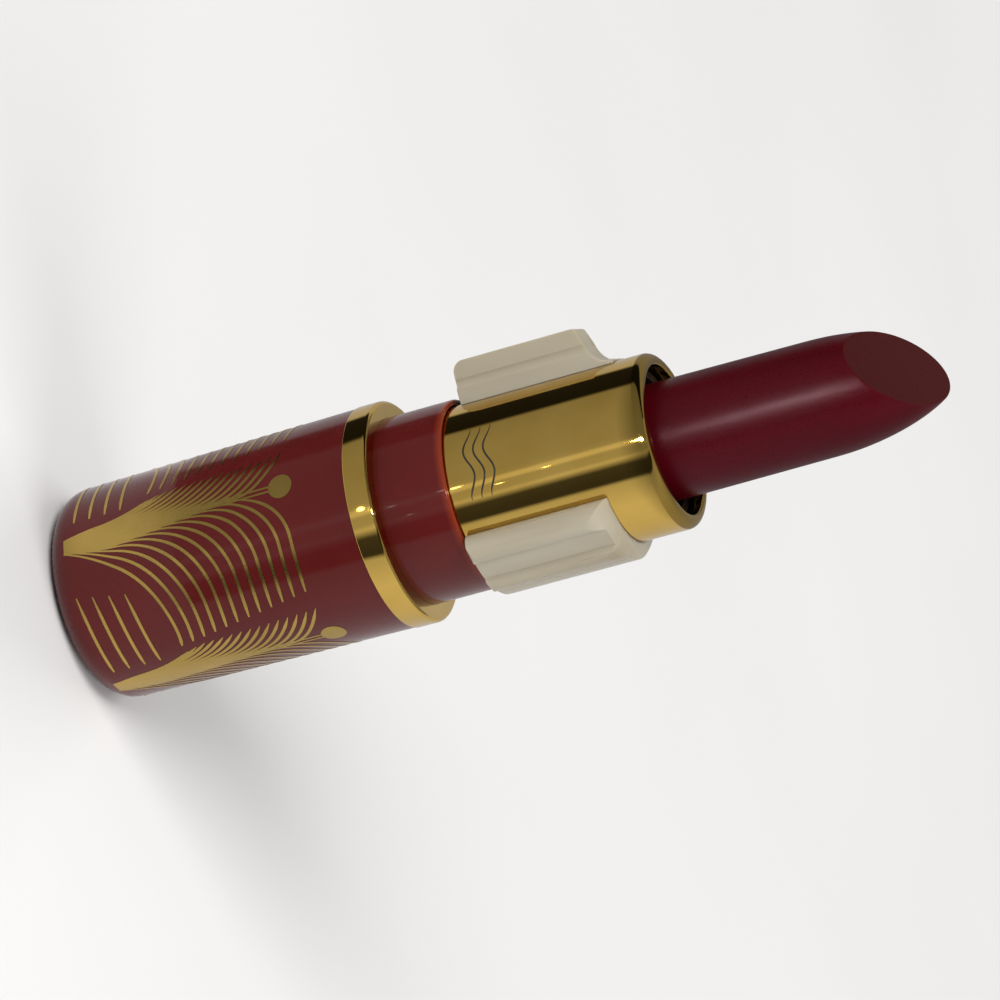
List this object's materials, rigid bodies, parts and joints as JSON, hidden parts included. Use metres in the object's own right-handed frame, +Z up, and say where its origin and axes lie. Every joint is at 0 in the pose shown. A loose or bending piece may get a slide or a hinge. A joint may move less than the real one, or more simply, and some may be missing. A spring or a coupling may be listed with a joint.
{
  "type": "lipstick case",
  "caption": "Twist-up lipstick with its cap off: a lacquered base, a bright metal barrel and a slanted stick that winds in and out, with a clear clip round the barrel.",
  "frame": {"origin": "centre of the flat foot of the base", "axes": "+Z up the axis of the case, from the base towards the tip of the lipstick; -Y and 18.5 degrees up is the side that the picture shows, and -X is its upper edge"},
  "size_m": [0.022, 0.0204, 0.0822],
  "materials": {
    "red_lacquer": "high gloss dark red lacquer",
    "collar_plastic": "high gloss dark red, slightly translucent at the mouth",
    "gold_metal": "polished gold-coloured metal",
    "gold_foil": "stamped gold foil",
    "lipstick_wax": "satin deep wine wax",
    "clear_plastic": "translucent natural plastic",
    "dark_plastic": "satin black plastic",
    "inner_plastic": "natural white plastic",
    "washer_plastic": "natural low-friction plastic",
    "label_paper": "satin paper label, blank"
  },
  "bodies": {
    "base": {"base_shell": "red_lacquer", "shade_label": "label_paper", "socket_insert": "inner_plastic", "collar": "collar_plastic", "trim_ring": "gold_metal", "guide_tube": "dark_plastic"},
    "barrel": {"barrel_shell": "gold_metal", "spiral_sleeve": "dark_plastic", "brake_washer": "washer_plastic"},
    "carriage": {"elevator_cup": "dark_plastic", "lipstick_bullet": "lipstick_wax"},
    "clip": {"barrel_clip": "clear_plastic"}
  },
  "joints": [
    {"name": "barrel_twist", "type": "hinge", "parent": "base", "child": "barrel", "pos_m": [0, 0, 0], "axis": [0, 0, 1], "range_deg": [0, 540]},
    {"name": "bullet_lift", "type": "slide", "parent": "base", "child": "carriage", "axis": [0, 0, 1], "range_m": [-0.0275, 0]},
    {"name": "clip_pull", "type": "slide", "parent": "barrel", "child": "clip", "axis": [0, 0, 1], "range_m": [0, 0.05]}
  ],
  "couplings": [
    {"joint": "barrel_twist", "follows": "bullet_lift", "rad_per_m": -342.72}
  ]
}
